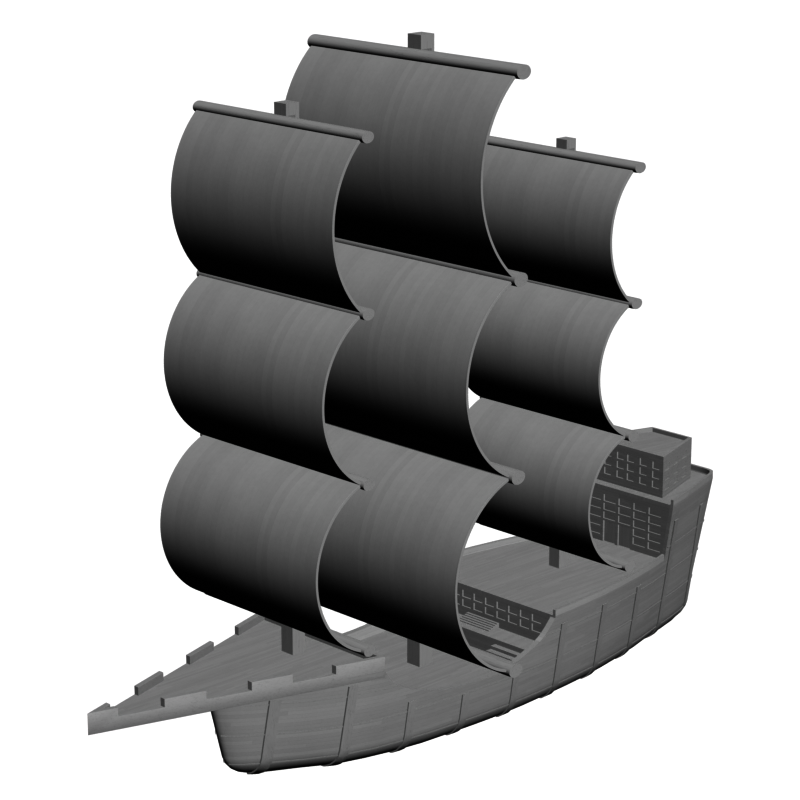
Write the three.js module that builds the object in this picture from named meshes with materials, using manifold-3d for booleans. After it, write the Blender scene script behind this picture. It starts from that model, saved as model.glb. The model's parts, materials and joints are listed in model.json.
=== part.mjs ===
import * as THREE from 'three';
import { mergeVertices } from 'three/addons/utils/BufferGeometryUtils.js';
import Module from 'manifold-3d';

// Three-masted tall ship, scale model 1:2, millimetres, +X bow, +Y port, +Z up.
// The centre plane is y = 0. Heights below are from a datum 60 mm above the flat of the
// bottom, and the finished part is lifted so that its bottom lies on z = 0.

const wasm = await Module();
wasm.setup();

// Shared clearances and directions
const GAP = 0.3;
const RUN = 8;
const MIRROR = [{ tag: 'port', side: 1 }, { tag: 'starboard', side: -1 }];

// Hull form at the reference height, stem to stern: station, half-breadth, and how far the
// station moves forward and the half-breadth shrinks for each millimetre of inset
const REF_Z = 3710;
const FLARE = 0.152;
const BOTTOM = -60;
const BILGE_R = 1233;
const HULL_PLAN = [
  [11181, 0, -1.62, 0], [11149, 155, -1.61, 0.085], [11061, 290, -1.56, 0.15],
  [10775, 600, -1.42, 0.32], [10315, 965, -1.2, 0.52], [9545, 1490, -0.82, 0.82],
  [8280, 2335, -0.57, 1.12], [6755, 3074, -0.37, 1.1], [5405, 3508, -0.24, 1.15],
  [3970, 3705, -0.08, 1.05], [2530, 3870, 0, 1], [1180, 3965, 0, 1], [-345, 4055, 0, 1],
  [-1610, 4095, 0, 1], [-3220, 4065, 0, 1], [-4400, 3995, 0.03, 1], [-5810, 3900, 0.056, 1],
  [-7190, 3765, 0.084, 1], [-8570, 3555, 0.111, 1], [-9975, 3300, 0.14, 1],
  [-11385, 2990, 0.168, 1], [-12765, 2615, 0.2, 1], [-14145, 2236, 0.473, 0.83],
  [-15555, 1811, 0.808, 0.675], [-16311, 1528, 0.952, 0.706], [-16511, 1380, 1, 0.637],
  [-16596, 1148, 1, 0.53], [-16606, 727, 1, 0.336], [-16606, 0, 1, 0],
];
const BREADTH_LEFT = 0.04;
const WALL = 170;
const WAIST_WALL = 262;

// Sheer line of the waist, bow to quarterdeck
const SHEER = [
  [5304, 4200], [5268, 4128], [5229, 4052], [5123, 3895], [5008, 3743], [4789, 3524], [4656, 3420],
  [4473, 3311], [4217, 3190], [3715, 2960],
  [3190, 2770], [2406, 2595], [1626, 2490], [826, 2435], [70, 2415], [-678, 2430],
  [-1450, 2560], [-2237, 2830], [-2750, 3040], [-3114, 3215], [-3392, 3400], [-3650, 3670],
  [-3796, 3865], [-3880, 3970], [-3930, 4045],
];

// Deck levels
const MAIN_Z = 1984;
const STEP_Z = 2746;
const QUARTER_Z = 4129;
const POOP_Z = 6722;
const ROOF_Z = 8602;
const BOW_TOP_Z = 4200;
const DECK_T = 150;
const RAIL_H = 260;
const RAIL_T = 134;
const LEDGE_H = 32;

// Lengthwise stations
const PLATE_AFT = 5300;
const WAIST_AFT = -3930;
const STEP_FRONT = -2870;
const CASTLE_FRONT = -12390;
const BULKHEAD_T = 140;

// Beak platform
const BEAK = {
  tip: 16960, slope: 0.3085, top: 4433, thick: 516, wallT: 237, crenel: 345,
  backFront: 5440, runs: [[16960, 15810], [14060, 12450], [10685, 9055], [7315, 5300]],
};

// Castle doors, each a leaf in its own doorway
const DOOR = { inner: 78, width: 713, top: 5118, leaf: 60, recess: 80, gap: 6, pin: 14 };

// Deckhouse on the poop
const HOUSE = { front: -12880, aft: -16035, halfFront: 2165, halfAft: 1150 };
const ROOF = { thick: 300, wall: 110, fall: 182, sill: 40 };

// Steps
const CENTRE_STEPS = { count: 5, rise: 43, tread: 125, half: 910 };
const SIDE_STEPS = { count: 4, rise: 137, tread: 280, inner: 1700 };

// Frames and wales standing proud of the hull
const FRAMES = {
  proud: 55, wide: 370, waleHalf: 26, waleProud: 30, low: 0, inner: 140,
  ribs: [
    { front: 9472, top: 3560 }, { front: 6783, top: 3820 }, { front: 3969, top: 2480 },
    { front: 1145, top: 2060 }, { front: -1669, top: 2050 }, { front: -4408, top: 3640 },
    { front: -7222, top: 3680 }, { front: -9976, top: 3640 }, { front: -12765, top: 5900 },
    { front: -15574, top: 5760 },
  ],
  wales: [
    { z: 745, from: -16100, to: 11000 }, { z: 2050, from: -16300, to: 11200 },
    { z: 3370, from: -16400, to: 11300 }, { z: 4700, from: -16600, to: -12500 },
  ],
};

// Masts: front face station, half thickness, foot and truck heights
const MASTS = [
  { tag: 'fore', front: 7170, half: 326, foot: BEAK.top, truck: 26128 },
  { tag: 'main', front: 230, half: 362, foot: MAIN_Z, truck: 27991 },
  { tag: 'mizzen', front: -8310, half: 286, foot: QUARTER_Z, truck: 22853 },
];

// Yards and sails of each mast, from the top yard down. A yard is an oval of half height r
// and half depth deep, its axis back behind the mast's front face; each sail's outer face
// bellies forward of that front face.
const RIGS = {
  fore: {
    half: 4692, r: 221, deep: 298, back: 12,
    z: [25449, 18940, 12431, 5845], belly: [1616, 2179, 2570],
  },
  main: {
    half: 5750, r: 278, deep: 379, back: 36,
    z: [27157, 19271, 11401, 3379], belly: [2053, 2749, 3266],
  },
  mizzen: {
    half: 4272, r: 220, deep: 325, back: 31,
    z: [22235, 16606, 10959, 5237], belly: [1541, 2070, 2519],
  },
};
const BRACE_DEG = 20;
const TRUSS = { r: 60, high: 150, bore: 62 };
const SAIL = { thick: 135, inset: 172, steps: 26 };
const YARD_NAMES = ['royal', 'topsail', 'lower_topsail', 'course'];
const SAIL_NAMES = ['upper', 'middle', 'lower'];

// Rudder, hung on a raked stern post
const RUDDER = {
  postHalf: 110, postProud: 120, gap: 30, chord: 820, half: 80, low: 260, high: 3500,
  pintles: [800, 2000, 3200], pinR: 30, bore: 31, eyeR: 85, eyeH: 90,
};

const MATERIALS = {
  hull: new THREE.MeshStandardMaterial({ color: 0x7f7f7f, roughness: 0.8, metalness: 0 }),
  deck: new THREE.MeshStandardMaterial({ color: 0x8a8a8a, roughness: 0.85, metalness: 0 }),
  cabin: new THREE.MeshStandardMaterial({ color: 0x838383, roughness: 0.8, metalness: 0 }),
  spar: new THREE.MeshStandardMaterial({ color: 0x8c8c8c, roughness: 0.7, metalness: 0 }),
  canvas: new THREE.MeshStandardMaterial({ color: 0x9a9a9a, roughness: 0.95, metalness: 0 }),
};

function toSolid(geometry) {
  const g = geometry.clone();
  g.deleteAttribute('normal');
  g.deleteAttribute('uv');
  const m = mergeVertices(g, 1e-4);
  const mesh = new wasm.Mesh({
    numProp: 3,
    vertProperties: new Float32Array(m.attributes.position.array),
    triVerts: new Uint32Array(m.index.array),
  });
  return new wasm.Manifold(mesh);
}

function fromSolid(solid) {
  const mesh = solid.getMesh();
  const g = new THREE.BufferGeometry();
  g.setAttribute('position', new THREE.BufferAttribute(new Float32Array(mesh.vertProperties), 3));
  g.setIndex(new THREE.BufferAttribute(new Uint32Array(mesh.triVerts), 1));
  g.computeVertexNormals();
  return g;
}

function box(x0, x1, y0, y1, z0, z1) {
  const g = new THREE.BoxGeometry(Math.abs(x1 - x0), Math.abs(y1 - y0), Math.abs(z1 - z0));
  g.translate((x0 + x1) / 2, (y0 + y1) / 2, (z0 + z1) / 2);
  return toSolid(g);
}

// Prism of an outline in the XY plane, between two heights
function prismZ(points, z0, z1) {
  const shape = new THREE.Shape(points.map(([x, y]) => new THREE.Vector2(x, y)));
  const g = new THREE.ExtrudeGeometry(shape, { depth: z1 - z0, bevelEnabled: false });
  g.translate(0, 0, z0);
  return toSolid(g);
}

// Prism of an outline in the XZ plane, between two widths
function prismY(points, y0, y1) {
  const shape = new THREE.Shape(points.map(([x, z]) => new THREE.Vector2(x, z)));
  const g = new THREE.ExtrudeGeometry(shape, { depth: y1 - y0, bevelEnabled: false });
  g.rotateX(Math.PI / 2);
  g.translate(0, y1, 0);
  return toSolid(g);
}

function cylinderZ(x, y, r, z0, z1, sides) {
  const g = new THREE.CylinderGeometry(r, r, z1 - z0, sides);
  g.rotateX(Math.PI / 2);
  g.translate(x, y, (z0 + z1) / 2);
  return toSolid(g);
}

// Outline of the hull at an inset from the reference outline
function hullRing(inset) {
  const line = HULL_PLAN.map(([x, half, along, inward]) => (
    [x + along * inset, Math.max(half * BREADTH_LEFT, half - inward * inset)]
  ));
  return [...line, ...line.slice(1, -1).reverse().map(([x, y]) => [x, -y])];
}

function sideInset(z) {
  return FLARE * (REF_Z - z);
}

// Hull body between the bottom and a top height, grown outward by `grow`
function hullBody(grow, top) {
  const slant = Math.atan(FLARE);
  const bilgeSteps = 6;
  const levels = [top, 5200, REF_Z, 2400].map((z) => [sideInset(z) - grow / Math.cos(slant), z]);
  const axis = BOTTOM + BILGE_R;
  const foot = sideInset(axis - BILGE_R * Math.sin(slant)) + BILGE_R * Math.cos(slant);
  for (let i = 0; i <= bilgeSteps; i += 1) {
    const a = slant + (Math.PI / 2 - slant) * i / bilgeSteps;
    const r = BILGE_R + grow;
    levels.push([foot - r * Math.cos(a), axis - r * Math.sin(a)]);
  }
  const rows = levels.map(([inset, z]) => hullRing(inset).map(([x, y]) => [x, y, z]));
  const n = rows[0].length;
  const position = [];
  rows.forEach((row) => row.forEach((p) => position.push(...p)));
  const index = [];
  for (let j = 0; j + 1 < rows.length; j += 1) {
    for (let i = 0; i < n; i += 1) {
      const a = j * n + i;
      const b = j * n + (i + 1) % n;
      index.push(a, b + n, b);
      index.push(a, a + n, b + n);
    }
  }
  const last = (rows.length - 1) * n;
  const half = HULL_PLAN.length - 1;
  for (let i = 0; i < half; i += 1) {
    const p0 = i;
    const p1 = i + 1;
    const s0 = (n - i) % n;
    const s1 = n - i - 1;
    if (i > 0) {
      index.push(p0, p1, s0);
      index.push(last + p0, last + s0, last + p1);
    }
    if (i + 1 < half) {
      index.push(s0, p1, s1);
      index.push(last + s0, last + s1, last + p1);
    }
  }
  const g = new THREE.BufferGeometry();
  g.setAttribute('position', new THREE.BufferAttribute(new Float32Array(position), 3));
  g.setIndex(index);
  return toSolid(g);
}

const FAR = 20000;
const HULL_TOP = 7600;
const outer = hullBody(0, HULL_TOP);
const inner = hullBody(-WALL, HULL_TOP);
const fit = hullBody(-WALL - GAP, HULL_TOP);
const waistInner = hullBody(-WAIST_WALL, HULL_TOP);
const waistFit = hullBody(-WAIST_WALL - GAP, HULL_TOP);

function beakPlatform() {
  const tip = BEAK.tip;
  const wide = (tip - PLATE_AFT) * BEAK.slope;
  const low = BEAK.top - BEAK.thick;
  const outline = [[PLATE_AFT, -wide], [tip, 0], [PLATE_AFT, wide]];
  let body = prismZ(outline, low, BEAK.top);
  const rim = prismZ(outline, BEAK.top - 1, BEAK.top + BEAK.crenel)
    .subtract(prismZ([
      [PLATE_AFT - 500, -(wide - BEAK.wallT) - 500 * BEAK.slope],
      [tip - BEAK.wallT / BEAK.slope, 0],
      [PLATE_AFT - 500, wide - BEAK.wallT + 500 * BEAK.slope],
    ], BEAK.top - 2, BEAK.top + BEAK.crenel + 1));
  BEAK.runs.forEach(([x1, x0]) => {
    body = body.add(rim.intersect(box(x0, x1, -FAR, FAR, 0, FAR)));
  });
  const wallHalf = (tip - BEAK.backFront) * BEAK.slope - 60;
  body = body.add(box(PLATE_AFT, BEAK.backFront, -wallHalf, wallHalf, BEAK.top - 1, BEAK.top + BEAK.crenel));
  return body;
}

// Upright top strake of a raised deck
function topStrake(z, high, x0, x1) {
  return prismZ(hullRing(sideInset(z) + 4), z - 10, z + high).intersect(box(x0, x1, -FAR, FAR, 0, FAR));
}

// Room above a raised deck: flared up to a low ledge at the deck's edge, upright above it
function deckWell(z, low, x0, x1) {
  return inner.intersect(box(x0, x1, -FAR, FAR, low, z + LEDGE_H))
    .add(prismZ(hullRing(sideInset(z) + 4 + RAIL_T), z + LEDGE_H - 1, FAR)
      .intersect(box(x0, x1, -FAR, FAR, 0, FAR)));
}

function hullShell() {
  const outline = [
    [-FAR, -FAR], [-FAR, POOP_Z], [CASTLE_FRONT, POOP_Z], [CASTLE_FRONT, QUARTER_Z],
    [WAIST_AFT, QUARTER_Z], ...[...SHEER].reverse(), [FAR, BOW_TOP_Z], [FAR, -FAR],
  ];
  let body = outer.intersect(prismY(outline, -FAR, FAR))
    .add(topStrake(QUARTER_Z, RAIL_H, CASTLE_FRONT, WAIST_AFT))
    .add(topStrake(POOP_Z, RAIL_H - 10, -FAR, CASTLE_FRONT));
  body = body
    .subtract(waistInner.intersect(box(
      WAIST_AFT - BULKHEAD_T, PLATE_AFT + BULKHEAD_T, -FAR, FAR, MAIN_Z - DECK_T, FAR,
    )))
    .subtract(deckWell(QUARTER_Z, QUARTER_Z - DECK_T, CASTLE_FRONT, WAIST_AFT))
    .subtract(deckWell(POOP_Z, QUARTER_Z - DECK_T, -FAR, CASTLE_FRONT));
  body = body.subtract(prismZ(
    [[PLATE_AFT - 600, -(BEAK.tip - PLATE_AFT + 600) * BEAK.slope - GAP * 2],
      [BEAK.tip + 2, 0],
      [PLATE_AFT - 600, (BEAK.tip - PLATE_AFT + 600) * BEAK.slope + GAP * 2]],
    BEAK.top - BEAK.thick - GAP, BEAK.top + 2000,
  ).intersect(box(PLATE_AFT - GAP, FAR, -FAR, FAR, 0, FAR)));
  return body.add(sternPost());
}

// Aft face of the stern post follows the rake of the transom
function postX(z, off) {
  return HULL_PLAN[HULL_PLAN.length - 1][0] + FLARE * (REF_Z - z) - off;
}

function sternPost() {
  const p = RUDDER.postProud;
  let post = prismY([
    [-15000, 20], [postX(20, p), 20], [postX(RUDDER.high, p), RUDDER.high],
    [-15000, RUDDER.high],
  ], -RUDDER.postHalf, RUDDER.postHalf);
  RUDDER.pintles.forEach((t) => {
    post = post.add(rakedPin(t - RUDDER.eyeH / 2, t + RUDDER.eyeH / 2, RUDDER.eyeR));
    post = post.subtract(rakedPin(t - RUDDER.eyeH, t + RUDDER.eyeH, RUDDER.bore));
  });
  return post;
}

// The rudder's axis leans aft with the post; lengths along it start at the datum
function leanOnPost(g) {
  g.rotateY(-Math.atan(FLARE));
  g.translate(postX(0, RUDDER.postProud + RUDDER.eyeR - 15), 0, 0);
  return toSolid(g);
}

function rakedPin(t0, t1, r) {
  const g = new THREE.CylinderGeometry(r, r, t1 - t0, 24);
  g.rotateX(Math.PI / 2);
  g.translate(0, 0, (t0 + t1) / 2);
  return leanOnPost(g);
}

// Prism of an outline in the plane of the rudder
function rakedPlate(points, half) {
  const shape = new THREE.Shape(points.map(([x, t]) => new THREE.Vector2(x, t)));
  const g = new THREE.ExtrudeGeometry(shape, { depth: 2 * half, bevelEnabled: false });
  g.rotateX(Math.PI / 2);
  g.translate(0, half, 0);
  return leanOnPost(g);
}

function rudderBlade() {
  const lead = -(RUDDER.eyeR + RUDDER.gap);
  let blade = rakedPlate([
    [lead, RUDDER.low], [lead, RUDDER.high], [lead - RUDDER.chord * 0.55, RUDDER.high],
    [lead - RUDDER.chord, 1400], [lead - RUDDER.chord * 0.94, RUDDER.low],
  ], RUDDER.half);
  RUDDER.pintles.forEach((t) => {
    const up = t + RUDDER.eyeH / 2 + GAP;
    blade = blade
      .add(rakedPlate([[40, up], [40, up + 60], [lead - 150, up + 60], [lead - 150, up]], 45))
      .add(rakedPin(t - RUDDER.eyeH / 2, up + 30, RUDDER.pinR));
  });
  return blade;
}

function deckSlab(x0, x1, top, within) {
  return within.intersect(box(x0, x1, -FAR, FAR, top - DECK_T + GAP, top));
}

function quarterdeckBulkhead() {
  return waistFit.intersect(box(
    WAIST_AFT - BULKHEAD_T + GAP, WAIST_AFT, -FAR, FAR, MAIN_Z + GAP, QUARTER_Z - DECK_T,
  ));
}

function forecastleBulkhead() {
  return waistFit.intersect(box(
    PLATE_AFT, PLATE_AFT + BULKHEAD_T - GAP, -FAR, FAR, MAIN_Z + GAP, BEAK.top - BEAK.thick - GAP,
  ));
}

function castleBulkhead() {
  let wall = fit.intersect(box(
    CASTLE_FRONT - BULKHEAD_T, CASTLE_FRONT, -FAR, FAR, QUARTER_Z + GAP, POOP_Z - DECK_T,
  ));
  MIRROR.forEach(({ side }) => {
    const a = side * DOOR.inner;
    const b = side * (DOOR.inner + DOOR.width);
    wall = wall.subtract(box(
      CASTLE_FRONT - BULKHEAD_T - 1, CASTLE_FRONT + 1, Math.min(a, b), Math.max(a, b),
      QUARTER_Z - 5, DOOR.top,
    ));
    const { x, y } = doorPivot(side);
    wall = wall.subtract(cylinderZ(x, y, DOOR.pin + 1, DOOR.top - 10, DOOR.top + 44, 16));
  });
  return wall;
}

// Pivot of a door leaf, beside its outer jamb
function doorPivot(side) {
  return {
    x: CASTLE_FRONT - DOOR.recess - DOOR.leaf / 2,
    y: side * (DOOR.inner + DOOR.width - DOOR.gap - DOOR.leaf / 2 - 4),
  };
}

function doorLeaf(side) {
  const { x, y } = doorPivot(side);
  const a = side * (DOOR.inner + DOOR.gap);
  const low = QUARTER_Z + DOOR.gap;
  const high = DOOR.top - DOOR.gap;
  return box(x - DOOR.leaf / 2, x + DOOR.leaf / 2, Math.min(a, y), Math.max(a, y), low, high)
    .add(cylinderZ(x, y, DOOR.leaf / 2, low, high, 20))
    .add(cylinderZ(x, y, DOOR.pin, QUARTER_Z + GAP, low + 10, 16))
    .add(cylinderZ(x, y, DOOR.pin, high - 10, DOOR.top + 40, 16));
}

function houseOutline(inset) {
  const { front, aft, halfFront, halfAft } = HOUSE;
  const k = inset * 1.05;
  return [
    [front - inset, -halfFront + k], [front - inset, halfFront - k],
    [aft + inset, halfAft - k], [aft + inset, -halfAft + k],
  ];
}

function deckhouse() {
  return prismZ(houseOutline(0), POOP_Z + GAP, ROOF_Z - ROOF.thick);
}

// The roof falls aft between upright edges and is open to the front
function deckhouseRoof() {
  const { front, aft } = HOUSE;
  const open = houseOutline(ROOF.wall).map(([x, y]) => [x > -14000 ? x + 400 : x, y]);
  const fall = prismY([
    [front + 500, ROOF_Z + 1], [front + 500, ROOF_Z], [front - ROOF.sill, ROOF_Z],
    [aft + ROOF.wall, ROOF_Z - ROOF.fall], [aft + ROOF.wall, ROOF_Z + 1],
  ], -FAR, FAR);
  return prismZ(houseOutline(0), ROOF_Z - ROOF.thick + GAP, ROOF_Z)
    .subtract(prismZ(open, POOP_Z, ROOF_Z + 2).intersect(fall));
}

function waistPlatform() {
  return waistFit.intersect(box(WAIST_AFT + GAP, STEP_FRONT, -FAR, FAR, MAIN_Z + GAP, STEP_Z));
}

function sideSteps(side) {
  let flight = null;
  for (let i = 0; i < SIDE_STEPS.count; i += 1) {
    const x1 = STEP_FRONT + SIDE_STEPS.tread * (SIDE_STEPS.count - i);
    const z1 = MAIN_Z + SIDE_STEPS.rise * (i + 1);
    const tread = box(STEP_FRONT + GAP, x1, side * SIDE_STEPS.inner, side * 6000, MAIN_Z + GAP, z1);
    flight = flight ? flight.add(tread) : tread;
  }
  return flight.intersect(waistFit);
}

function centreSteps() {
  let flight = null;
  for (let i = 0; i < CENTRE_STEPS.count; i += 1) {
    const x1 = WAIST_AFT + CENTRE_STEPS.tread * (CENTRE_STEPS.count - i);
    const z1 = STEP_Z + CENTRE_STEPS.rise * (i + 1);
    const tread = box(WAIST_AFT + GAP, x1, -CENTRE_STEPS.half, CENTRE_STEPS.half, STEP_Z + GAP, z1);
    flight = flight ? flight.add(tread) : tread;
  }
  return flight;
}

// Frames and wales over one side, as one lattice on the planking
function hullFrames(side) {
  const skin = hullBody(GAP, HULL_TOP).add(outer);
  let ribs = null;
  FRAMES.ribs.forEach(({ front, top }) => {
    const slab = box(front - FRAMES.wide, front, side * FRAMES.inner, side * 6000, FRAMES.low, top);
    ribs = ribs ? ribs.add(slab) : slab;
  });
  let wales = null;
  FRAMES.wales.forEach(({ z, from, to }) => {
    const strip = box(from, to, side * 150, side * 6000, z - FRAMES.waleHalf, z + FRAMES.waleHalf);
    wales = wales ? wales.add(strip) : strip;
  });
  const lattice = hullBody(FRAMES.proud, HULL_TOP).intersect(ribs)
    .add(hullBody(FRAMES.waleProud, HULL_TOP).intersect(wales));
  const above = prismY([[FAR, BOW_TOP_Z - 300], [5304, BOW_TOP_Z - 300], ...SHEER.slice(1, -1),
    [WAIST_AFT, QUARTER_Z - 100], [CASTLE_FRONT, QUARTER_Z - 100], [CASTLE_FRONT, FAR], [FAR, FAR]]
    .map(([x, z]) => [x, z - 40]), -FAR, FAR);
  return lattice.subtract(skin).subtract(above);
}

function mast({ tag, front, half, foot, truck }) {
  const rig = RIGS[tag];
  const swing = BRACE_DEG * Math.PI / 180;
  const axis = front - rig.back;
  let body = box(front - 2 * half, front, -half, half, foot + GAP, truck);
  rig.z.forEach((z) => {
    const mid = rig.deep / Math.cos(swing) + RUN;
    const side = mid + half * Math.tan(swing) + 20;
    const notch = prismZ([
      [front + 50, -half - 50], [front + 50, half + 50], [axis - side, half + 50],
      [axis - mid, 0], [axis - side, -half - 50],
    ], z - rig.r - RUN, z + rig.r + RUN);
    body = body.subtract(notch);
    body = body.add(cylinderZ(axis, 0, TRUSS.r, z - rig.r - RUN - 10, z - rig.r + TRUSS.high, 24));
  });
  return body;
}

// Oval spar across the ship, grown outward by `grow`
function oval(tag, z, grow, wide) {
  const { front } = MASTS.find((m) => m.tag === tag);
  const { r, deep, back } = RIGS[tag];
  const g = new THREE.CylinderGeometry(1, 1, 2 * wide, 32);
  g.scale(deep + grow, 1, r + grow);
  g.translate(front - back, 0, z);
  return toSolid(g);
}

function yard(tag, z) {
  const rig = RIGS[tag];
  const { front } = MASTS.find((m) => m.tag === tag);
  const bore = cylinderZ(front - rig.back, 0, TRUSS.bore, z - rig.r - 50,
    z - rig.r + TRUSS.high + GAP, 24);
  return oval(tag, z, 0, rig.half).subtract(bore);
}

// Arc through the axes of the two yards that a sail hangs between
function sailArc(tag, i) {
  const rig = RIGS[tag];
  const { front } = MASTS.find((m) => m.tag === tag);
  const chord = (rig.z[i] - rig.z[i + 1]) / 2;
  const belly = rig.belly[i] - SAIL.thick + rig.back;
  const radius = (chord * chord + belly * belly) / (2 * belly);
  return {
    radius, centre: front - rig.back + belly - radius, mid: rig.z[i] - chord,
    reach: Math.asin(chord / radius),
  };
}

// Bellied band on the outside of that arc
function sailBand(tag, i, grow) {
  const { radius, centre, mid, reach } = sailArc(tag, i);
  const points = [];
  for (let k = 0; k <= SAIL.steps; k += 1) {
    const a = -reach + 2 * reach * k / SAIL.steps;
    const r = radius + SAIL.thick + grow;
    points.push([centre + r * Math.cos(a), mid + r * Math.sin(a)]);
  }
  for (let k = SAIL.steps; k >= 0; k -= 1) {
    const a = -reach + 2 * reach * k / SAIL.steps;
    const r = radius - grow;
    points.push([centre + r * Math.cos(a), mid + r * Math.sin(a)]);
  }
  return points;
}

function sail(tag, i) {
  const rig = RIGS[tag];
  const { front } = MASTS.find((m) => m.tag === tag);
  const [high, low] = [rig.z[i], rig.z[i + 1]];
  const wide = rig.half - SAIL.inset;
  let cloth = prismY(sailBand(tag, i, 0), -wide, wide);
  cloth = cloth.intersect(box(front, front + 6000, -FAR, FAR, low - 400, high + 400));
  [high, low].forEach((z) => {
    cloth = cloth.subtract(oval(tag, z, GAP, FAR));
  });
  if (i > 0) {
    cloth = cloth.subtract(prismY(sailBand(tag, i - 1, GAP), -FAR, FAR));
  }
  return cloth;
}

const part = new THREE.Group();
part.name = 'tall_ship';

function place(name, solid, material) {
  const pieces = solid.decompose();
  let body = pieces[0];
  pieces.forEach((p) => {
    if (p.volume() > body.volume()) {
      body = p;
    }
  });
  const mesh = new THREE.Mesh(fromSolid(body.translate([0, 0, -BOTTOM])), MATERIALS[material]);
  mesh.name = name;
  part.add(mesh);
}

place('hull', hullShell(), 'hull');
MIRROR.forEach(({ tag, side }) => place(`hull_frames_${tag}`, hullFrames(side), 'hull'));
place('beak_platform', beakPlatform(), 'deck');
place('main_deck', deckSlab(
  WAIST_AFT - BULKHEAD_T + GAP, PLATE_AFT + BULKHEAD_T - GAP, MAIN_Z, waistFit,
), 'deck');
place('forecastle_bulkhead', forecastleBulkhead(), 'cabin');
place('quarterdeck_bulkhead', quarterdeckBulkhead(), 'cabin');
place('waist_platform', waistPlatform(), 'deck');
place('centre_steps', centreSteps(), 'deck');
MIRROR.forEach(({ tag, side }) => place(`side_steps_${tag}`, sideSteps(side), 'deck'));
place('quarterdeck', deckSlab(-FAR, WAIST_AFT, QUARTER_Z, fit), 'deck');
place('castle_bulkhead', castleBulkhead(), 'cabin');
MIRROR.forEach(({ tag, side }) => place(`castle_door_${tag}`, doorLeaf(side), 'cabin'));
place('poop_deck', deckSlab(-FAR, CASTLE_FRONT, POOP_Z, fit), 'deck');
place('deckhouse', deckhouse(), 'cabin');
place('deckhouse_roof', deckhouseRoof(), 'cabin');
MASTS.forEach((m) => place(`${m.tag}_mast`, mast(m), 'spar'));
MASTS.forEach(({ tag }) => {
  RIGS[tag].z.forEach((z, i) => place(`${tag}_${YARD_NAMES[i]}_yard`, yard(tag, z), 'spar'));
  SAIL_NAMES.forEach((n, i) => place(`${tag}_${n}_sail`, sail(tag, i), 'canvas'));
});
place('rudder', rudderBlade(), 'hull');

export default part;
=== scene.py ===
import json
import math

import bmesh
import bpy
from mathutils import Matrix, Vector

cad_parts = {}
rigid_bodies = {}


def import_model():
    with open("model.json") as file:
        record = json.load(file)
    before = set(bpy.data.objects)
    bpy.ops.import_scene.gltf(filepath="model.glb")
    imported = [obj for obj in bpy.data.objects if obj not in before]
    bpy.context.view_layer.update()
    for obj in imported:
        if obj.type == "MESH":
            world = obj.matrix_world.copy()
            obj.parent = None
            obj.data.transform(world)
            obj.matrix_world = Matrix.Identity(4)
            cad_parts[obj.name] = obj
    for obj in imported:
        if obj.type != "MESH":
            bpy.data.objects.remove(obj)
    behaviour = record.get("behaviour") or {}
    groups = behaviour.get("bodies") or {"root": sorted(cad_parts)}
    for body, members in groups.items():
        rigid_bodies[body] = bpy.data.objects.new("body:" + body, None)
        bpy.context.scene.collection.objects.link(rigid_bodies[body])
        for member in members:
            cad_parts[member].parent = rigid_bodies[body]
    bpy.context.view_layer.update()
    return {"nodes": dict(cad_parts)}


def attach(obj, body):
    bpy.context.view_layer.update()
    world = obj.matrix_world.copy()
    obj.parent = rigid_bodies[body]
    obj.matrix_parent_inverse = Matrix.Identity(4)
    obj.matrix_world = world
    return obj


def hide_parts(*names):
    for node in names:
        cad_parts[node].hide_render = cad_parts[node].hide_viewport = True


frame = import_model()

# Three-masted tall ship, scale model 1:2, metres, +X bow, +Y port, +Z up, bottom on z = 0.
SHIP = "ship"
SIDES = (("port", 1), ("starboard", -1))

# Camera of the photograph
CAMERA_PLACE = (68.545, 69.377, 41.363)
CAMERA_YAW = math.radians(45.767)
CAMERA_PITCH = math.radians(16.014)
FOCAL_PIXELS = 2528.7
IMAGE_SIDE = 800
SENSOR = 36
NEAR, FAR = 1, 2000

# Studio: one key lamp as in the photograph, and two level fills for the sides that it doesn't show
KEY_FROM = (0.307, 0.690, 0.655)
KEY_POWER = 10.4
LAMP_SPREAD = 12
AFT_FILL_FROM = (-0.95, -0.30, 0.0)
AFT_FILL_POWER = 3.4
STARBOARD_FILL_FROM = (-0.25, -0.97, 0.0)
STARBOARD_FILL_POWER = 3.8
AMBIENT = 0.01
FLOOR_HALF = 700
FLOOR_GREY = 0.475
FLOOR_DROP = 0.002

# Walls that carry windows; DATUM is how far the measured heights are lifted to the part's own
DATUM = 0.06
WINDOW_HIGH = 0.316
WINDOW_DEEP = 0.086
QUARTER_WALL_X = -3.930
QUARTER_COLUMNS = (0.074, 0.746, 1.418, 2.090, 2.762)
QUARTER_WINDOW_WIDTH = 0.523
QUARTER_SILLS = (3.145, 3.565)
CASTLE_WALL_X = -12.390
CASTLE_COLUMNS = (0.078, 0.946, 1.814)
CASTLE_WINDOW_WIDTH = 0.713
CASTLE_SILLS = (5.210, 5.611, 6.012)
CASTLE_SILLS_BESIDE_DOORS = (4.416, 4.813)
HOUSE_FRONT_X, HOUSE_AFT_X = -12.880, -16.035
HOUSE_FRONT_HALF, HOUSE_AFT_HALF = 2.165, 1.150
HOUSE_COLUMNS = (0.098, 0.822, 1.547)
HOUSE_WINDOW_WIDTH = 0.402
HOUSE_SILLS = (7.080, 7.518, 7.945)
HOUSE_SIDE_SHARES = (0.157, 0.459, 0.761)
HOUSE_SIDE_SILLS = (6.991, 7.432, 7.872)
HOUSE_SIDE_WIDTH = 0.520
HOUSE_SIDE_DEEP = 0.065
HOUSE_SIDE_SPLAY = 0.09

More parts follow.
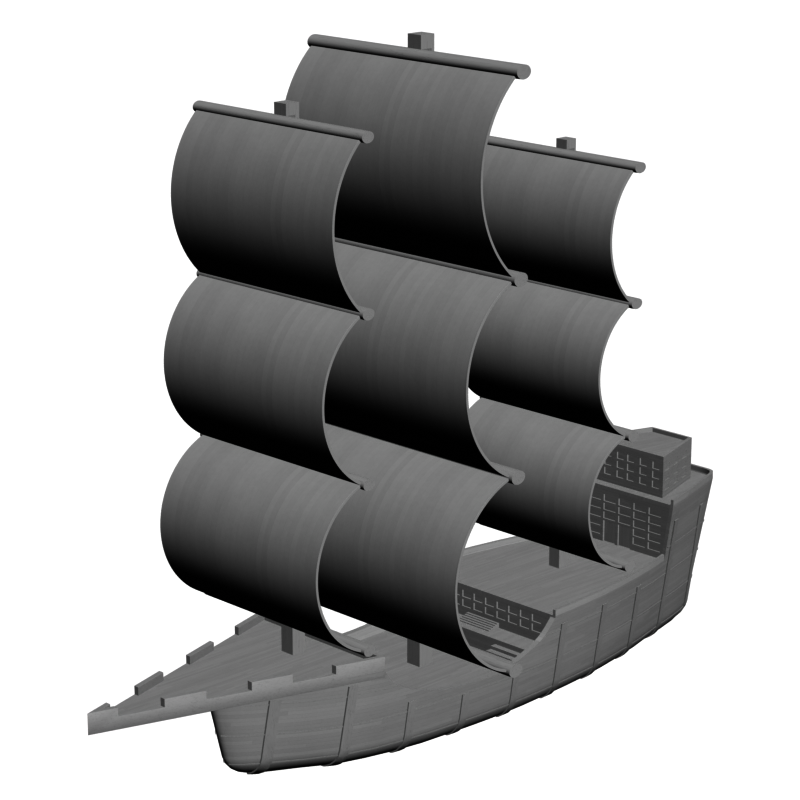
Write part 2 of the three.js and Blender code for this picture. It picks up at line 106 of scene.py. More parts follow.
# Yards and sails, from the top yard down, as the part's source has them
RIGS = {
    "fore": {
        "front": 7.170, "half": 4.692, "r": 0.221, "deep": 0.298, "back": 0.012,
        "z": (25.449, 18.940, 12.431, 5.845), "belly": (1.616, 2.179, 2.570),
    },
    "main": {
        "front": 0.230, "half": 5.750, "r": 0.278, "deep": 0.379, "back": 0.036,
        "z": (27.157, 19.271, 11.401, 3.379), "belly": (2.053, 2.749, 3.266),
    },
    "mizzen": {
        "front": -8.310, "half": 4.272, "r": 0.220, "deep": 0.325, "back": 0.031,
        "z": (22.235, 16.606, 10.959, 5.237), "belly": (1.541, 2.070, 2.519),
    },
}
YARDS = ("royal", "topsail", "lower_topsail", "course")
SAILS = ("upper", "middle", "lower")
SAIL_THICK = 0.135
SAIL_INSET = 0.172
CLOTH_OUT = 0.117
CLOTH_THICK = 0.014
CLOTH_ROWS = 49
CLOTH_COLUMNS = 37
ANGLE_STEP = math.radians(0.05)
TABLING_WIDE = 0.060
TABLING_ROUND = 0.009
TABLING_PROUD = 0.001
TABLING_ROWS = 64
CORNER_POINTS = 4

# Sailcloth: widths of a cloth and its seam, where the stitches run, and the pitch of thread and weave
CLOTH_WIDTH = 0.30
SEAM_LAP = 0.011
STITCH_FROM_SEAM, STITCH_WIDTH, STITCH_PITCH = 0.010, 0.0022, 0.012
WEAVE_PITCH = 0.0032
SLACK_CELLS = (3.1, 0.75, 1.0)
SAIL_SLACK, TABLING_SLACK = 0.003, 0.001

# Timber: noise cells a metre across and along the grain, of boards, of baulks and of their checks
BOARD_GRAIN = (26.0, 1.1)
BAULK_GRAIN = (30.0, 0.9)
BAULK_CHECKS = (9.0, 0.35)
CHECK_HALF, CHECK_EDGE = 0.012, 90.0
CAULKED_SEAM, DECK_SEAM = 0.005, 0.004

# How far each pattern moves a grey between its darkest and lightest, and its height in metres
BOARD_SHADE, GRAIN_SHADE, WEATHER_SHADE, CAULK_SHADE = 0.12, 0.24, 0.10, 0.26
BOARD_RELIEF, GRAIN_RELIEF, CAULK_RELIEF = 0.0004, 0.0008, 0.0030
BAULK_SHADE, CHECK_SHADE, CHECK_RELIEF = 0.26, 0.18, 0.003
CLOTH_SHADE, SOFT_SHADE, STAIN_SHADE = 0.07, 0.14, 0.12
LAP_SHADE, STITCH_SHADE, WEAVE_SHADE = 0.05, 0.10, 0.02
LAP_RELIEF, STITCH_RELIEF, WEAVE_RELIEF = 0.0008, 0.0005, 0.00012

# Roughness of each finish, what grain or stain adds to it, and how strongly its relief shows
BOARD_ROUGH, BAULK_ROUGH, CLOTH_ROUGH = 0.70, 0.64, 0.86
GRAIN_ROUGH, STAIN_ROUGH = 0.2, 0.1
BOARD_BUMP, BAULK_BUMP, CLOTH_BUMP = 0.55, 0.5, 0.6

# Seeds of the random draws: where a row's butts fall, a board's own grey, a cloth's own grey
BUTT_SEED, BOARD_SEED, CLOTH_SEED = 3.7, 1.3, 5.1

# Greys of the bare ship, darkest and lightest of each finish, linear
PLAIN_GREYS = (0.130, 0.270)
HULL_GREYS = (0.138, 0.290)
FRAME_GREYS = (0.136, 0.281)
RAIL_GREYS = (0.1275, 0.265)
WALL_GREYS = (0.126, 0.262)
MATT = 0.0

# Least part of a face's normal along an axis for it to count as level, as a cross wall, as the bottom
LEVEL_FACE = 0.9
CROSS_FACE = 0.8
BOTTOM_FACE = 0.97
BEAK_DECK_AREA = 2.0

# Worn corners, and bends in degrees: shaded as a round below the first, eased above the second
ROUND_BEND = 28
CORNER_BEND = 40
STEP_CORNER = 0.004
ROOF_CORNER = 0.005
PLATFORM_CORNER = 0.006
BEAK_CORNER = 0.008
MERGE_DISTANCE = 2e-5
FLAT_BEND = 0.2


class Reading:
    """A value in a finish's tree. Arithmetic on readings adds Math nodes to it."""

    def __init__(self, finish, socket):
        self.finish = finish
        self.socket = socket

    def worked(self, operation, *values):
        return self.finish.node("ShaderNodeMath", {"operation": operation}, dict(enumerate(values)))(0)

    def __add__(self, other):
        return self.worked("ADD", self, other)

    def __radd__(self, other):
        return self.worked("ADD", other, self)

    def __sub__(self, other):
        return self.worked("SUBTRACT", self, other)

    def __rsub__(self, other):
        return self.worked("SUBTRACT", other, self)

    def __mul__(self, other):
        return self.worked("MULTIPLY", self, other)

    def __rmul__(self, other):
        return self.worked("MULTIPLY", other, self)

    def __truediv__(self, other):
        return self.worked("DIVIDE", self, other)

    def __abs__(self):
        return self.worked("ABSOLUTE", self)

    def floor(self):
        return self.worked("FLOOR", self)

    def sine(self):
        return self.worked("SINE", self)

    def most(self, other):
        return self.worked("MAXIMUM", self, other)

    def held(self):
        """The value kept between 0 and 1."""
        return self.finish.node("ShaderNodeClamp", {}, {0: self})(0)


class Finish:
    """A material built from nodes, with its Principled shader at the end."""

    def __init__(self, name):
        self.material = bpy.data.materials.new(name)
        self.material.use_nodes = True
        self.tree = self.material.node_tree
        self.tree.nodes.clear()

    def node(self, kind, settings, sockets):
        made = self.tree.nodes.new(kind)
        for key, value in settings.items():
            setattr(made, key, value)
        for key, value in sockets.items():
            if isinstance(value, Reading):
                self.tree.links.new(value.socket, made.inputs[key])
            else:
                made.inputs[key].default_value = value
        return lambda key: Reading(self, made.outputs[key])

    def place(self):
        return self.node("ShaderNodeTexCoord", {}, {})("Object")

    def axes(self, vector):
        split = self.node("ShaderNodeSeparateXYZ", {}, {0: vector})
        return split("X"), split("Y"), split("Z")

    def joined(self, x, y, z=0.0):
        return self.node("ShaderNodeCombineXYZ", {}, {0: x, 1: y, 2: z})(0)

    def stretched(self, vector, scale):
        return self.node("ShaderNodeVectorMath", {"operation": "MULTIPLY"}, {0: vector, 1: scale})(0)

    def noise(self, vector, scale, detail=4.0, roughness=0.55):
        sockets = {"Vector": vector, "Scale": scale, "Detail": detail, "Roughness": roughness}
        return self.node("ShaderNodeTexNoise", {"noise_dimensions": "3D"}, sockets)(0)

    def chance(self, vector):
        return self.node("ShaderNodeTexWhiteNoise", {"noise_dimensions": "3D"}, {"Vector": vector})("Value")

    def streaked(self, place, run, cells):
        """The place stretched so that noise on it runs in streaks along one axis."""
        across, along = cells
        scale = [across] * 3
        scale["XYZ".index(run)] = along
        return self.stretched(place, tuple(scale))

    def tone(self, share, greys):
        """Grey between the dark and the light one, by a share from 0 to 1."""
        dark, light = greys
        return self.node("ShaderNodeMix", {"data_type": "RGBA"}, {
            0: share, 6: (dark, dark, dark, 1.0), 7: (light, light, light, 1.0),
        })(2)

    def closed(self, colour, roughness, height, bump_strength):
        """Ends the tree in a matt surface and returns the material."""
        bump = self.node("ShaderNodeBump", {}, {"Strength": bump_strength, "Distance": 1.0, "Height": height})
        shader = self.node("ShaderNodeBsdfPrincipled", {}, {
            "Base Color": colour, "Roughness": roughness, "Normal": bump(0), "Specular IOR Level": MATT,
        })
        self.node("ShaderNodeOutputMaterial", {}, {0: shader(0)})
        return self.material


def planked(name, run, across, board, length, seam=CAULKED_SEAM, greys=PLAIN_GREYS):
    """Boards laid along one axis and counted along another, with caulked seams, butts and grain."""
    finish = Finish(name)
    place = finish.place()
    axes = finish.axes(place)
    along = axes["XYZ".index(run)]
    count = axes["XYZ".index(across)] / board
    row = count.floor()
    shift = finish.chance(finish.joined(row, BUTT_SEED)) * length
    run_count = (along + shift) / length
    cell = run_count.floor()
    own = finish.chance(finish.joined(row, cell, BOARD_SEED))
    edge = (abs(count - row - 0.5) * board - (board / 2 - seam)) / seam
    butt = (abs(run_count - cell - 0.5) * length - (length / 2 - seam)) / seam
    caulk = edge.most(butt).held()
    grain = finish.noise(finish.streaked(place, run, BOARD_GRAIN), scale=1.0, detail=6.0, roughness=0.62)
    weather = finish.noise(place, scale=0.55, detail=3.0)
    share = (
        0.5 + (own - 0.5) * BOARD_SHADE + (grain - 0.5) * GRAIN_SHADE
        + (weather - 0.5) * WEATHER_SHADE - caulk * CAULK_SHADE
    ).held()
    height = grain * GRAIN_RELIEF - caulk * CAULK_RELIEF + own * BOARD_RELIEF
    return finish.closed(finish.tone(share, greys), BOARD_ROUGH + grain * GRAIN_ROUGH, height, BOARD_BUMP)


def solid_timber(name, run, greys=PLAIN_GREYS):
    """One baulk: long grain with drying checks."""
    finish = Finish(name)
    place = finish.place()
    grain = finish.noise(finish.streaked(place, run, BAULK_GRAIN), scale=1.0, detail=6.0, roughness=0.6)
    split = finish.noise(finish.streaked(place, run, BAULK_CHECKS), scale=1.0, detail=3.0, roughness=0.5)
    check = ((CHECK_HALF - abs(split - 0.5)) * CHECK_EDGE).held()
    weather = finish.noise(place, scale=0.6, detail=3.0)
    share = (
        0.5 + (grain - 0.5) * BAULK_SHADE + (weather - 0.5) * WEATHER_SHADE - check * CHECK_SHADE
    ).held()
    height = grain * GRAIN_RELIEF - check * CHECK_RELIEF
    return finish.closed(finish.tone(share, greys), BAULK_ROUGH + grain * GRAIN_ROUGH, height, BAULK_BUMP)


def canvas(name, slack_depth):
    """Sailcloth in vertical cloths of one width with stitched flat seams, on the piece's own UV."""
    finish = Finish(name)
    uv = finish.node("ShaderNodeUVMap", {"uv_map": "UVMap"}, {})(0)
    u, v, _ = finish.axes(uv)
    count = u / CLOTH_WIDTH
    cloth = count.floor()
    own = finish.chance(finish.joined(cloth, CLOTH_SEED))
    from_seam = (0.5 - abs(count - cloth - 0.5)) * CLOTH_WIDTH
    lap = (1.0 - from_seam / SEAM_LAP).held()
    stitch_line = (1.0 - abs(from_seam - STITCH_FROM_SEAM) / STITCH_WIDTH).held()
    stitch = stitch_line * ((v * (math.tau / STITCH_PITCH)).sine() * 2.0).held()
    weave = (u * (math.tau / WEAVE_PITCH)).sine() * (v * (math.tau / WEAVE_PITCH)).sine()
    soft = finish.noise(uv, scale=0.9)
    slack = finish.noise(finish.stretched(uv, SLACK_CELLS), scale=1.0, detail=2.0, roughness=0.4)
    stain = finish.noise(uv, scale=5.5, detail=5.0, roughness=0.6)
    share = (
        0.5 + (own - 0.5) * CLOTH_SHADE + (soft - 0.5) * SOFT_SHADE + (stain - 0.5) * STAIN_SHADE
        - lap * LAP_SHADE - stitch * STITCH_SHADE + weave * WEAVE_SHADE
    ).held()
    height = weave * WEAVE_RELIEF + lap * LAP_RELIEF + stitch * STITCH_RELIEF + slack * slack_depth
    roughness = CLOTH_ROUGH + stain * STAIN_ROUGH
    return finish.closed(finish.tone(share, PLAIN_GREYS), roughness, height, CLOTH_BUMP)


HULL_PLANKS = planked("hull_strakes", "X", "Z", board=0.17, length=4.2, greys=HULL_GREYS)
BOTTOM_PLANKS = planked("bottom_strakes", "X", "Y", board=0.20, length=4.2)
TRANSOM_PLANKS = planked("transom_planks", "Y", "Z", board=0.17, length=3.6)
RAIL_TIMBER = solid_timber("rail_timber", "X", RAIL_GREYS)
FRAME_TIMBER = solid_timber("frame_timber", "Z", FRAME_GREYS)
RUDDER_PLANKS = planked("rudder_planks", "Z", "X", board=0.16, length=6.0)
DECK_PLANKS = planked("deck_planks", "X", "Y", board=0.115, length=3.4, seam=DECK_SEAM)
WALL_BOARDS = planked("bulkhead_boards", "Y", "Z", board=0.14, length=2.6, greys=WALL_GREYS)
HOUSE_BOARDS = planked("deckhouse_boards", "Y", "Z", board=0.12, length=2.4, greys=RAIL_GREYS)
DOOR_BOARDS = planked("door_boards", "Z", "Y", board=0.10, length=3.0)
STEP_TIMBER = solid_timber("step_timber", "Y")
MAST_TIMBER = solid_timber("mast_timber", "Z")
YARD_TIMBER = solid_timber("yard_timber", "Y")
SAIL_CANVAS = canvas("sail_canvas", SAIL_SLACK)
TABLING_CANVAS = canvas("tabling_canvas", TABLING_SLACK)


def give(piece, *materials):
    piece.data.materials.clear()
    for material in materials:
        piece.data.materials.append(material)
    return piece


def dress(piece, sides, tops=None, ends=None):
    """Materials by the way each face looks: up or down, fore or aft, else sideways."""
    give(piece, sides, tops or sides, ends or sides)
    for face in piece.data.polygons:
        if abs(face.normal.z) > LEVEL_FACE:
            face.material_index = 1
        elif abs(face.normal.x) > CROSS_FACE:
            face.material_index = 2
        else:
            face.material_index = 0
    return piece


def linked(mesh, name):
    piece = bpy.data.objects.new(name, mesh)
    bpy.context.scene.collection.objects.link(piece)
    return piece


def settled(piece, name):
    """The piece with its modifiers carried out, as a plain mesh in the same place."""
    graph = bpy.context.evaluated_depsgraph_get()
    mesh = bpy.data.meshes.new_from_object(
        piece.evaluated_get(graph), preserve_all_data_layers=True, depsgraph=graph
    )
    made = linked(mesh, name)
    bpy.data.objects.remove(piece)
    made.name = name
    return made


def merged_copy(node, name, flat_faces):
    """Copy of a CAD node with its loose triangles joined, and its flat faces made whole."""
    mesh = frame["nodes"][node].data.copy()
    mesh.name = name
    form = bmesh.new()
    form.from_mesh(mesh)
    bmesh.ops.remove_doubles(form, verts=form.verts, dist=MERGE_DISTANCE)
    if flat_faces:
        bend = math.radians(FLAT_BEND)
        bmesh.ops.dissolve_limit(form, angle_limit=bend, verts=form.verts, edges=form.edges)
    form.to_mesh(mesh)
    form.free()
    return linked(mesh, name)


def rounded_shading(piece):
    """Smooth shading across slight bends, sharp edges at the others and at the border."""
    form = bmesh.new()
    form.from_mesh(piece.data)
    limit = math.radians(ROUND_BEND)
    for face in form.faces:
        face.smooth = True
    for edge in form.edges:
        edge.smooth = len(edge.link_faces) == 2 and edge.calc_face_angle(math.pi) < limit
    form.to_mesh(piece.data)
    form.free()
    return piece


def eased(piece, width):
    """Small worn round on the piece's sharp corners."""
    bevel = piece.modifiers.new("worn_corners", "BEVEL")
    bevel.width = width
    bevel.segments = 2
    bevel.limit_method = "ANGLE"
    bevel.angle_limit = math.radians(CORNER_BEND)
    return piece


def stands_for(piece, node, body):
    """The piece rides a body in the place of a CAD node."""
    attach(piece, body)
    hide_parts(node)
    return piece


class Plan:
    """A geometry tree under construction, with named size inputs."""

    def __init__(self, name):
        self.tree = bpy.data.node_groups.new(name, "GeometryNodeTree")
        self.inputs = {}
        self.source = self.tree.nodes.new("NodeGroupInput")
        self.tree.interface.new_socket("Geometry", in_out="OUTPUT", socket_type="NodeSocketGeometry")
        self.given("Geometry", "NodeSocketGeometry")

    def given(self, name, kind="NodeSocketFloat"):
        socket = self.tree.interface.new_socket(name, in_out="INPUT", socket_type=kind)
        self.inputs[name] = socket.identifier
        return self.source.outputs[name]

    def node(self, kind, settings, sockets):
        made = self.tree.nodes.new(kind)
        for key, value in settings.items():
            setattr(made, key, value)
        for key, value in sockets.items():
            if isinstance(value, bpy.types.NodeSocket):
                self.tree.links.new(value, made.inputs[key])
            else:
                made.inputs[key].default_value = value
        return made.outputs

    def maths(self, operation, *values):
        return self.node("ShaderNodeMath", {"operation": operation}, dict(enumerate(values)))[0]

    def ended(self, geometry, material):
        real = self.node("GeometryNodeRealizeInstances", {}, {0: geometry})[0]
        dressed = self.node("GeometryNodeSetMaterial", {}, {"Geometry": real, "Material": material})[0]
        end = self.tree.nodes.new("NodeGroupOutput")
        self.tree.links.new(dressed, end.inputs[0])
        return self

    def grown(self, piece, name, **sizes):
        """Runs the tree on a piece with these sizes and returns the plain mesh it makes."""
        modifier = piece.modifiers.new("plan", "NODES")
        modifier.node_group = self.tree
        for key, value in sizes.items():
            modifier[self.inputs[key]] = value
        return settled(piece, name)


def window_plan():
    """A box on each point of a mesh, turned about the vertical: the openings' cutting block.

    Its sides part by the splay for each unit of depth, so that a recess can widen outwards.
    """
    plan = Plan("window openings")
    wide, deep, high = plan.given("Wide"), plan.given("Deep"), plan.given("High")
    turn, splay = plan.given("Turn"), plan.given("Splay")
    size = plan.node("ShaderNodeCombineXYZ", {}, {0: plan.maths("MULTIPLY", deep, 2.0), 1: wide, 2: high})[0]
    block = plan.node("GeometryNodeMeshCube", {}, {"Size": size})[0]
    corner = plan.node("GeometryNodeInputPosition", {}, {})[0]
    split = plan.node("ShaderNodeSeparateXYZ", {}, {0: corner})
    outward = plan.maths("MULTIPLY", split[0], splay)
    spread = plan.maths("MULTIPLY", plan.maths("SIGN", split[1]), outward)
    offset = plan.node("ShaderNodeCombineXYZ", {}, {1: spread})[0]
    block = plan.node("GeometryNodeSetPosition", {}, {"Geometry": block, "Offset": offset})[0]
    lift = plan.node("ShaderNodeCombineXYZ", {}, {2: plan.maths("MULTIPLY", high, 0.5)})[0]
    block = plan.node("GeometryNodeTransform", {}, {"Geometry": block, "Translation": lift})[0]
    angles = plan.node("ShaderNodeCombineXYZ", {}, {2: turn})[0]
    placed = plan.node("GeometryNodeInstanceOnPoints", {}, {
        "Points": plan.source.outputs["Geometry"], "Instance": block, "Rotation": angles,
    })[0]
    return plan.ended(placed, WALL_BOARDS)


def cloth_plan():
    """A sheet on a cylinder between two angles, with its flat lengths as its UV map."""
    plan = Plan("bellied cloth")
    half = plan.given("Half width")
    radius, centre, middle = plan.given("Radius"), plan.given("Centre"), plan.given("Middle")
    low, high = plan.given("Low angle"), plan.given("High angle")
    rows = plan.given("Rows", "NodeSocketInt")
    columns = plan.given("Columns", "NodeSocketInt")
    width = plan.maths("MULTIPLY", half, 2.0)
    grid = plan.node("GeometryNodeMeshGrid", {}, {
        "Size X": 1.0, "Size Y": width, "Vertices X": rows, "Vertices Y": columns,
    })[0]
    place = plan.node("GeometryNodeInputPosition", {}, {})[0]
    split = plan.node("ShaderNodeSeparateXYZ", {}, {0: place})
    share = plan.maths("ADD", split[0], 0.5)
    swing = plan.maths("MULTIPLY", share, plan.maths("SUBTRACT", high, low))
    angle = plan.maths("ADD", low, swing)
    forward = plan.maths("ADD", centre, plan.maths("MULTIPLY", radius, plan.maths("COSINE", angle)))
    up = plan.maths("ADD", middle, plan.maths("MULTIPLY", radius, plan.maths("SINE", angle)))
    flat = plan.node("ShaderNodeCombineXYZ", {}, {
        0: plan.maths("ADD", split[1], half), 1: plan.maths("MULTIPLY", radius, swing),
    })[0]
    marked = plan.node("GeometryNodeStoreNamedAttribute", {"data_type": "FLOAT2", "domain": "CORNER"}, {
        "Geometry": grid, "Name": "UVMap", "Value": flat,
    })[0]
    bent = plan.node("GeometryNodeSetPosition", {}, {
        "Geometry": marked,
        "Position": plan.node("ShaderNodeCombineXYZ", {}, {0: forward, 1: split[1], 2: up})[0],
    })[0]
    smooth = plan.node("GeometryNodeSetShadeSmooth", {}, {"Geometry": bent})[0]
    return plan.ended(smooth, SAIL_CANVAS)


WINDOWS = window_plan()
CLOTH = cloth_plan()


def point_mesh(name, points):
    mesh = bpy.data.meshes.new(name)
    mesh.from_pydata([tuple(p) for p in points], [], [])
    return linked(mesh, name)


def cut_windows(piece, sets):
    """Cuts sets of (sill points, width, depth, turn, splay) out of a wall."""
    blocks = []
    for i, (points, width, deep, turn, splay) in enumerate(sets):
        block = WINDOWS.grown(
            point_mesh("window_points", points), f"{piece.name}_cut_{i}",
            Wide=width, Deep=deep, High=WINDOW_HIGH, Turn=turn, Splay=splay,
        )
        cut = piece.modifiers.new("windows", "BOOLEAN")
        cut.operation = "DIFFERENCE"
        cut.solver = "EXACT"
        cut.object = block
        blocks.append(block)
    made = settled(piece, piece.name)
    for block in blocks:
        bpy.data.objects.remove(block)
    return made


def sills(x, columns, width, heights):
    """Sill points on a cross wall, both sides of the centre line."""
    return [
        (x, side * (inner + width / 2), z + DATUM)
        for _, side in SIDES for inner in columns for z in heights
    ]


def quarterdeck_wall():
    points = sills(QUARTER_WALL_X, QUARTER_COLUMNS, QUARTER_WINDOW_WIDTH, QUARTER_SILLS)
    piece = cut_windows(merged_copy("quarterdeck_bulkhead", "quarterdeck_front", True), [
        (points, QUARTER_WINDOW_WIDTH, WINDOW_DEEP, 0.0, 0.0),
    ])
    give(piece, WALL_BOARDS)
    return stands_for(piece, "quarterdeck_bulkhead", SHIP)


def castle_wall():
    points = sills(CASTLE_WALL_X, CASTLE_COLUMNS, CASTLE_WINDOW_WIDTH, CASTLE_SILLS)
    points += sills(CASTLE_WALL_X, CASTLE_COLUMNS[1:], CASTLE_WINDOW_WIDTH, CASTLE_SILLS_BESIDE_DOORS)
    piece = cut_windows(merged_copy("castle_bulkhead", "castle_front", True), [
        (points, CASTLE_WINDOW_WIDTH, WINDOW_DEEP, 0.0, 0.0),
    ])
    give(piece, WALL_BOARDS)
    return stands_for(piece, "castle_bulkhead", SHIP)


def deckhouse_walls():
    """The deckhouse with its front windows, and side ones that follow its narrowing walls."""
    front = sills(HOUSE_FRONT_X, HOUSE_COLUMNS, HOUSE_WINDOW_WIDTH, HOUSE_SILLS)
    sets = [(front, HOUSE_WINDOW_WIDTH, WINDOW_DEEP, 0.0, 0.0)]
    run = HOUSE_AFT_X - HOUSE_FRONT_X
    taper = HOUSE_AFT_HALF - HOUSE_FRONT_HALF
    for _, side in SIDES:
        points = [
            (HOUSE_FRONT_X + run * share, side * (HOUSE_FRONT_HALF + taper * share), z + DATUM)
            for share in HOUSE_SIDE_SHARES for z in HOUSE_SIDE_SILLS
        ]
        turn = side * (math.pi / 2 + math.atan2(-taper, -run))
        sets.append((points, HOUSE_SIDE_WIDTH, HOUSE_SIDE_DEEP, turn, HOUSE_SIDE_SPLAY))
    piece = cut_windows(merged_copy("deckhouse", "deckhouse_walls", True), sets)
    give(piece, HOUSE_BOARDS)
    return stands_for(piece, "deckhouse", SHIP)


def planked_hull():
    """The hull's copy, smooth round the bilge, with strakes, bottom planks and plain rails."""
    piece = rounded_shading(merged_copy("hull", "planked_hull", False))
    give(piece, HULL_PLANKS, BOTTOM_PLANKS, RAIL_TIMBER, TRANSOM_PLANKS)
    for face in piece.data.polygons:
        if face.normal.z < -BOTTOM_FACE:
            face.material_index = 1
        elif face.normal.z > LEVEL_FACE:
            face.material_index = 2
        elif face.normal.x < -CROSS_FACE:
            face.material_index = 3
    return stands_for(piece, "hull", SHIP)


def beak_platform():
    """The triangular platform: planks on its deck, one stout timber along each notched side."""
    piece = merged_copy("beak_platform", "beak_deck", True)
    give(piece, RAIL_TIMBER, DECK_PLANKS)
    for face in piece.data.polygons:
        if abs(face.normal.z) > LEVEL_FACE and face.area > BEAK_DECK_AREA:
            face.material_index = 1
    piece = settled(eased(piece, BEAK_CORNER), "beak_deck")
    return stands_for(piece, "beak_platform", SHIP)


def timber_copy(node, name, body, sides, tops=None, ends=None, rounded=False, corner=None):
    """A CAD node's form in timber: a round one shaded smooth, a square one with flat faces."""
    piece = merged_copy(node, name, not rounded)
    if rounded:
        rounded_shading(piece)
    if corner is not None:
        piece = settled(eased(piece, corner), name)
    dress(piece, sides, tops, ends)
    return stands_for(piece, node, body)


def sail_arc(rig, i):
    """Radius, centre station, middle height and half angle of the arc through two yards' axes."""
    chord = (rig["z"][i] - rig["z"][i + 1]) / 2
    belly = rig["belly"][i] - SAIL_THICK + rig["back"]
    radius = (chord * chord + belly * belly) / (2 * belly)
    centre = rig["front"] - rig["back"] + belly - radius
    return radius, centre, rig["z"][i] - chord + DATUM, math.asin(chord / radius)


def clear_angle(rig, i, radius, upper):
    """Angle at which a surface of the sail comes out of the yard's oval."""
    _, centre, middle, reach = sail_arc(rig, i)
    yard_z = rig["z"][i if upper else i + 1] + DATUM
    axis = rig["front"] - rig["back"]
    sign = 1 if upper else -1
    angle = sign * reach
    while True:
        x = centre + radius * math.cos(angle)
        z = middle + radius * math.sin(angle)
        inside = ((x - axis) / rig["deep"]) ** 2 + ((z - yard_z) / rig["r"]) ** 2
        if inside > 1.0:
            return angle
        angle -= sign * ANGLE_STEP


def bellied_cloth(tag, rig, i):
    """One sail's cloth, its flat size, and the angles between which it shows past its yards."""
    radius, centre, middle, _ = sail_arc(rig, i)
    skin = radius + CLOTH_OUT
    low = clear_angle(rig, i, skin, False)
    high = clear_angle(rig, i, skin, True)
    half = rig["half"] - SAIL_INSET
    piece = CLOTH.grown(
        point_mesh("sail_start", [(0, 0, 0)]), f"{tag}_{SAILS[i]}_cloth",
        **{
            "Half width": half, "Radius": skin, "Centre": centre, "Middle": middle,
            "Low angle": low, "High angle": high, "Rows": CLOTH_ROWS, "Columns": CLOTH_COLUMNS,
        },
    )
    if piece.data.polygons[0].normal.x < 0:
        piece.data.flip_normals()
    rounded_shading(piece)
    thick = piece.modifiers.new("cloth_thickness", "SOLIDIFY")
    thick.thickness = CLOTH_THICK
    thick.offset = -1
    flat = (2 * half, skin * (high - low))
    return piece, flat, (low, high)


def tabling_section():
    """Points round a band with rounded corners: depth from its inner face, offset from its outer."""
    points = []
    for sx, sy in ((1, 1), (1, -1), (-1, -1), (-1, 1)):
        for k in range(CORNER_POINTS):
            swing = math.pi / 2 * (k / (CORNER_POINTS - 1) - 0.5)
            turn = math.atan2(sy, sx) + swing * sx * sy
            across = sx * (CLOTH_OUT / 2 + TABLING_PROUD - TABLING_ROUND) + TABLING_ROUND * math.cos(turn)
            wide = sy * (TABLING_WIDE / 2 - TABLING_ROUND) + TABLING_ROUND * math.sin(turn)
            points.append((across, wide))
    points.sort(key=lambda p: math.atan2(p[1], p[0]))
    return [(across + CLOTH_OUT / 2, wide - TABLING_WIDE / 2) for across, wide in points]


def leech_tabling(tag, rig, i, side, low_skin, high_skin):
    """The doubled edge down one side of a sail, a band along the arc between its two yards."""
    radius, centre, middle, _ = sail_arc(rig, i)
    low_inner = clear_angle(rig, i, radius, False)
    high_inner = clear_angle(rig, i, radius, True)
    outer_y = side * (rig["half"] - SAIL_INSET + TABLING_PROUD)
    section = tabling_section()
    form = bmesh.new()
    uv = form.loops.layers.uv.new("UVMap")
    rings = []
    lengths = []
    for k in range(TABLING_ROWS + 1):
        share = k / TABLING_ROWS
        ring = []
        for depth, wide in section:
            part = depth / CLOTH_OUT
            low = low_inner + (low_skin - low_inner) * part
            high = high_inner + (high_skin - high_inner) * part
            angle = low + (high - low) * share
            r = radius + depth
            ring.append(form.verts.new((
                centre + r * math.cos(angle), outer_y + side * wide, middle + r * math.sin(angle),
            )))
        rings.append(ring)
        lengths.append(share * radius * (high_inner - low_inner))
    around = len(section)
    girth = 2 * (CLOTH_OUT + TABLING_WIDE) / around
    for k in range(TABLING_ROWS):
        for j in range(around):
            after = (j + 1) % around
            face = form.faces.new((rings[k][j], rings[k][after], rings[k + 1][after], rings[k + 1][j]))
            spots = ((j, k), (j + 1, k), (j + 1, k + 1), (j, k + 1))
            for loop, (a, b) in zip(face.loops, spots):
                loop[uv].uv = (a * girth, lengths[b])
            face.smooth = (rings[k][j].co - rings[k][after].co).length < 2 * TABLING_ROUND
    form.faces.new(rings[0])
    form.faces.new(rings[-1])
    bmesh.ops.recalc_face_normals(form, faces=form.faces)
    mesh = bpy.data.meshes.new("leech")
    form.to_mesh(mesh)
    form.free()
    which = "port" if side > 0 else "starboard"
    return give(linked(mesh, f"{tag}_{SAILS[i]}_leech_{which}"), TABLING_CANVAS)


def dressed_sail(tag, rig, i):
    """One sail, stretched between two yards: its cloth and the doubled edge down each side."""
    body = f"{tag}_rig"
    cloth, flat, (low, high) = bellied_cloth(tag, rig, i)
    stands_for(cloth, f"{tag}_{SAILS[i]}_sail", body)
    for _, side in SIDES:
        edge = leech_tabling(tag, rig, i, side, low, high)
        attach(edge, body)


def photograph_camera():
    lens = bpy.data.cameras.new("photograph_camera")
    camera = linked(lens, "photograph_camera")
    lens.sensor_width = SENSOR
    lens.sensor_fit = "HORIZONTAL"
    lens.lens = FOCAL_PIXELS / IMAGE_SIDE * SENSOR
    lens.clip_start, lens.clip_end = NEAR, FAR
    look = Vector((
        -math.cos(CAMERA_YAW) * math.cos(CAMERA_PITCH),
        -math.sin(CAMERA_YAW) * math.cos(CAMERA_PITCH),
        -math.sin(CAMERA_PITCH),
    ))
    camera.location = CAMERA_PLACE
    camera.rotation_mode = "QUATERNION"
    camera.rotation_quaternion = look.to_track_quat("-Z", "Y")
    bpy.context.scene.camera = camera


def sun(name, comes_from, power):
    lamp = bpy.data.lights.new(name, "SUN")
    lamp.energy = power
    lamp.angle = math.radians(LAMP_SPREAD)
    lamp.use_shadow = False
    light = linked(lamp, name)
    light.rotation_mode = "QUATERNION"
    light.rotation_quaternion = Vector(comes_from).to_track_quat("Z", "Y")


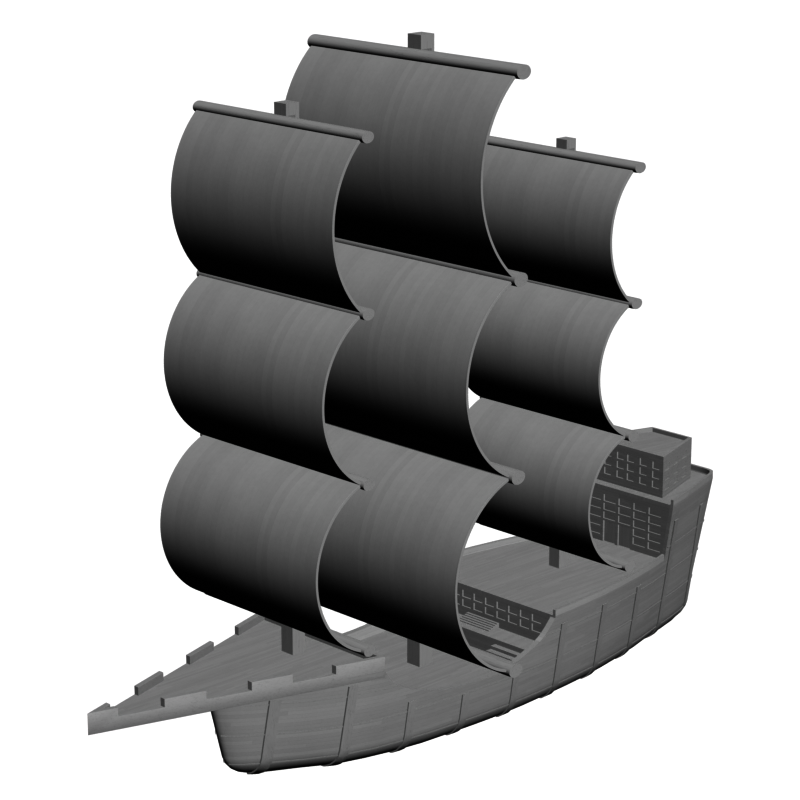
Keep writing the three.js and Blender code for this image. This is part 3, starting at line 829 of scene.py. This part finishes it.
def studio():
    """White world that only the camera sees, the lamps, and a pale floor just under the ship."""
    scene = bpy.context.scene
    scene.view_settings.view_transform = "Raw"
    world = bpy.data.worlds.new("studio")
    scene.world = world
    world.use_nodes = True
    tree = world.node_tree
    tree.nodes.clear()
    seen = tree.nodes.new("ShaderNodeLightPath")
    strength = tree.nodes.new("ShaderNodeMix")
    strength.inputs[2].default_value = AMBIENT
    strength.inputs[3].default_value = 1.0
    back = tree.nodes.new("ShaderNodeBackground")
    back.inputs["Color"].default_value = (1, 1, 1, 1)
    end = tree.nodes.new("ShaderNodeOutputWorld")
    tree.links.new(seen.outputs["Is Camera Ray"], strength.inputs[0])
    tree.links.new(strength.outputs[0], back.inputs["Strength"])
    tree.links.new(back.outputs[0], end.inputs[0])
    sun("key_light", KEY_FROM, KEY_POWER)
    sun("aft_fill_light", AFT_FILL_FROM, AFT_FILL_POWER)
    sun("starboard_fill_light", STARBOARD_FILL_FROM, STARBOARD_FILL_POWER)
    mesh = bpy.data.meshes.new("studio_floor")
    far, z = FLOOR_HALF, -FLOOR_DROP
    mesh.from_pydata([(-far, -far, z), (far, -far, z), (far, far, z), (-far, far, z)], [], [(0, 1, 2, 3)])
    floor = linked(mesh, "studio_floor")
    paper = bpy.data.materials.new("pale_floor")
    paper.use_nodes = True
    shader = paper.node_tree.nodes["Principled BSDF"]
    shader.inputs["Base Color"].default_value = (FLOOR_GREY, FLOOR_GREY, FLOOR_GREY, 1)
    shader.inputs["Roughness"].default_value = 1.0
    shader.inputs["Specular IOR Level"].default_value = MATT
    give(floor, paper)


photograph_camera()
studio()

planked_hull()
for tag, _ in SIDES:
    timber_copy(f"hull_frames_{tag}", f"frames_and_wales_{tag}", SHIP,
                FRAME_TIMBER, RAIL_TIMBER, FRAME_TIMBER, rounded=True)
    timber_copy(f"side_steps_{tag}", f"side_steps_{tag}_boards", SHIP,
                STEP_TIMBER, corner=STEP_CORNER)
    timber_copy(f"castle_door_{tag}", f"castle_door_{tag}_leaf", f"door_{tag}",
                DOOR_BOARDS)
quarterdeck_wall()
castle_wall()
deckhouse_walls()
beak_platform()
timber_copy("centre_steps", "centre_steps_boards", SHIP,
            STEP_TIMBER, corner=STEP_CORNER)
timber_copy("waist_platform", "waist_platform_boards", SHIP,
            WALL_BOARDS, DECK_PLANKS, WALL_BOARDS, corner=PLATFORM_CORNER)
timber_copy("deckhouse_roof", "deckhouse_roof_boards", SHIP,
            RAIL_TIMBER, DECK_PLANKS, HOUSE_BOARDS, corner=ROOF_CORNER)
timber_copy("forecastle_bulkhead", "forecastle_front", SHIP, WALL_BOARDS)
for node in ("main_deck", "quarterdeck", "poop_deck"):
    give(frame["nodes"][node], DECK_PLANKS)
for tag, rig in RIGS.items():
    timber_copy(f"{tag}_mast", f"{tag}_mast_timber", SHIP, MAST_TIMBER, rounded=True)
    for yard in YARDS:
        timber_copy(f"{tag}_{yard}_yard", f"{tag}_{yard}_spar", f"{tag}_rig",
                    YARD_TIMBER, rounded=True)
    for i in range(len(SAILS)):
        dressed_sail(tag, rig, i)
timber_copy("rudder", "rudder_blade", "rudder", RUDDER_PLANKS, rounded=True)

# The photograph has direct light only, so no piece lights another
for piece in bpy.context.scene.objects:
    if piece.type == "MESH":
        piece.visible_diffuse = False
